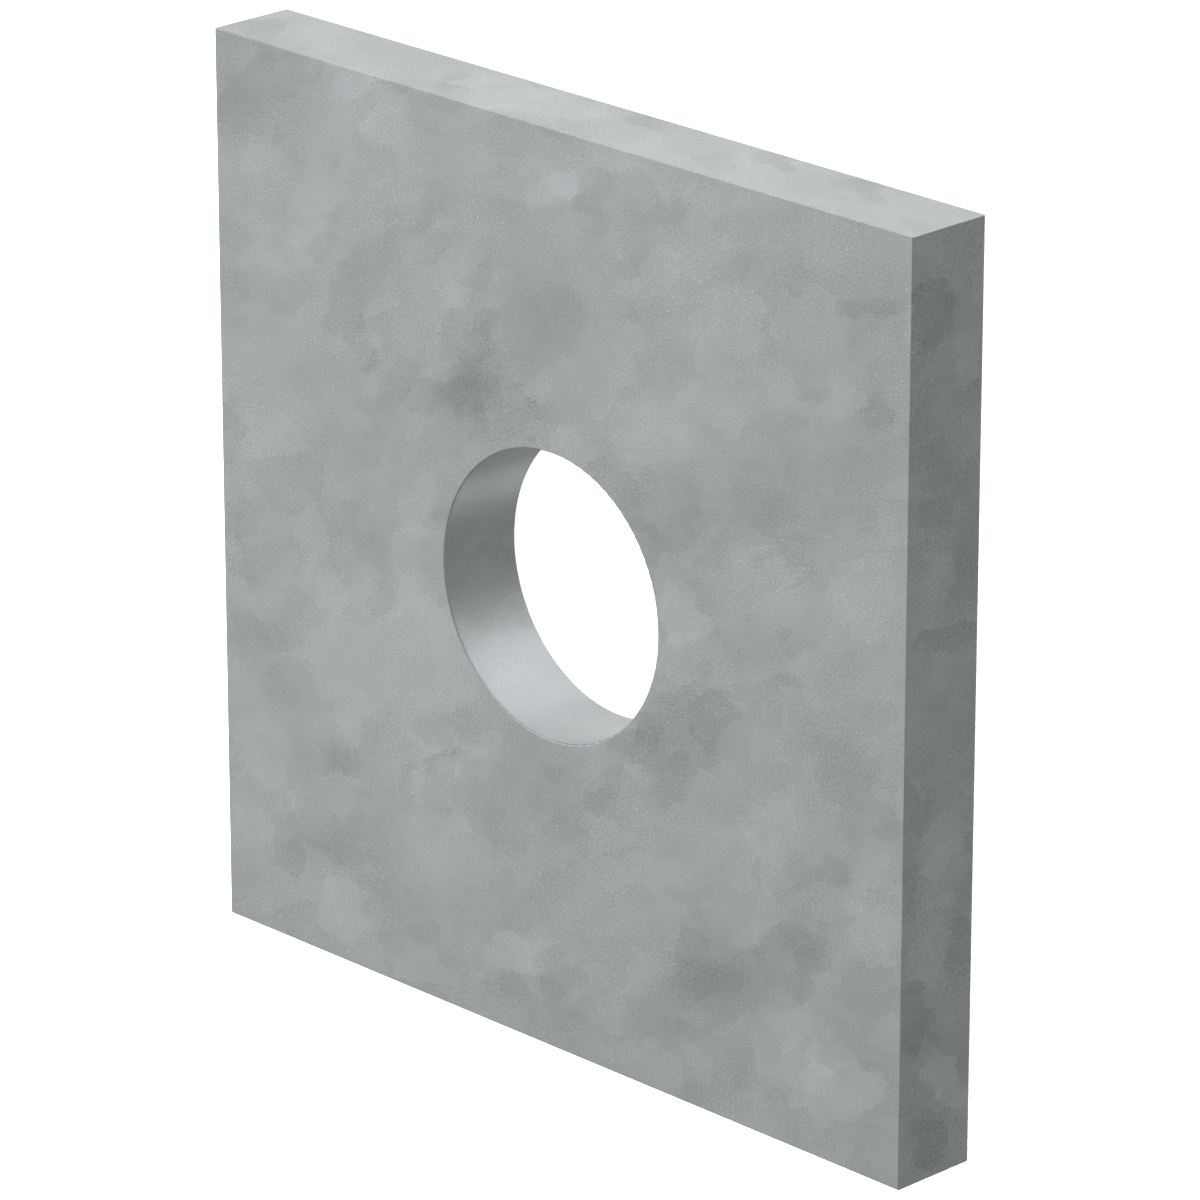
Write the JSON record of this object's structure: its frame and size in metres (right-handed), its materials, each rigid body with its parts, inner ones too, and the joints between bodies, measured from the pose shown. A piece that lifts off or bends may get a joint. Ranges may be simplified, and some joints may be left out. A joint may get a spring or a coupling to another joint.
{
  "type": "square plate washer",
  "caption": "Flat square galvanised steel plate with one central round bolt hole, a washer that spreads a nut's load over wood.",
  "frame": {"origin": "middle of the bolt hole on the bearing face, which is the face that the plate lies on", "axes": "+Z along the bolt, from the bearing face towards the nut; +X and +Y square to the plate's sides"},
  "size_m": [0.0762, 0.0762, 0.0077],
  "materials": {
    "galvanised_steel": "hot-dip galvanised, matt, with faint mottled zinc spangle"
  },
  "bodies": {
    "root": {"plate_washer": "galvanised_steel"}
  },
  "joints": []
}
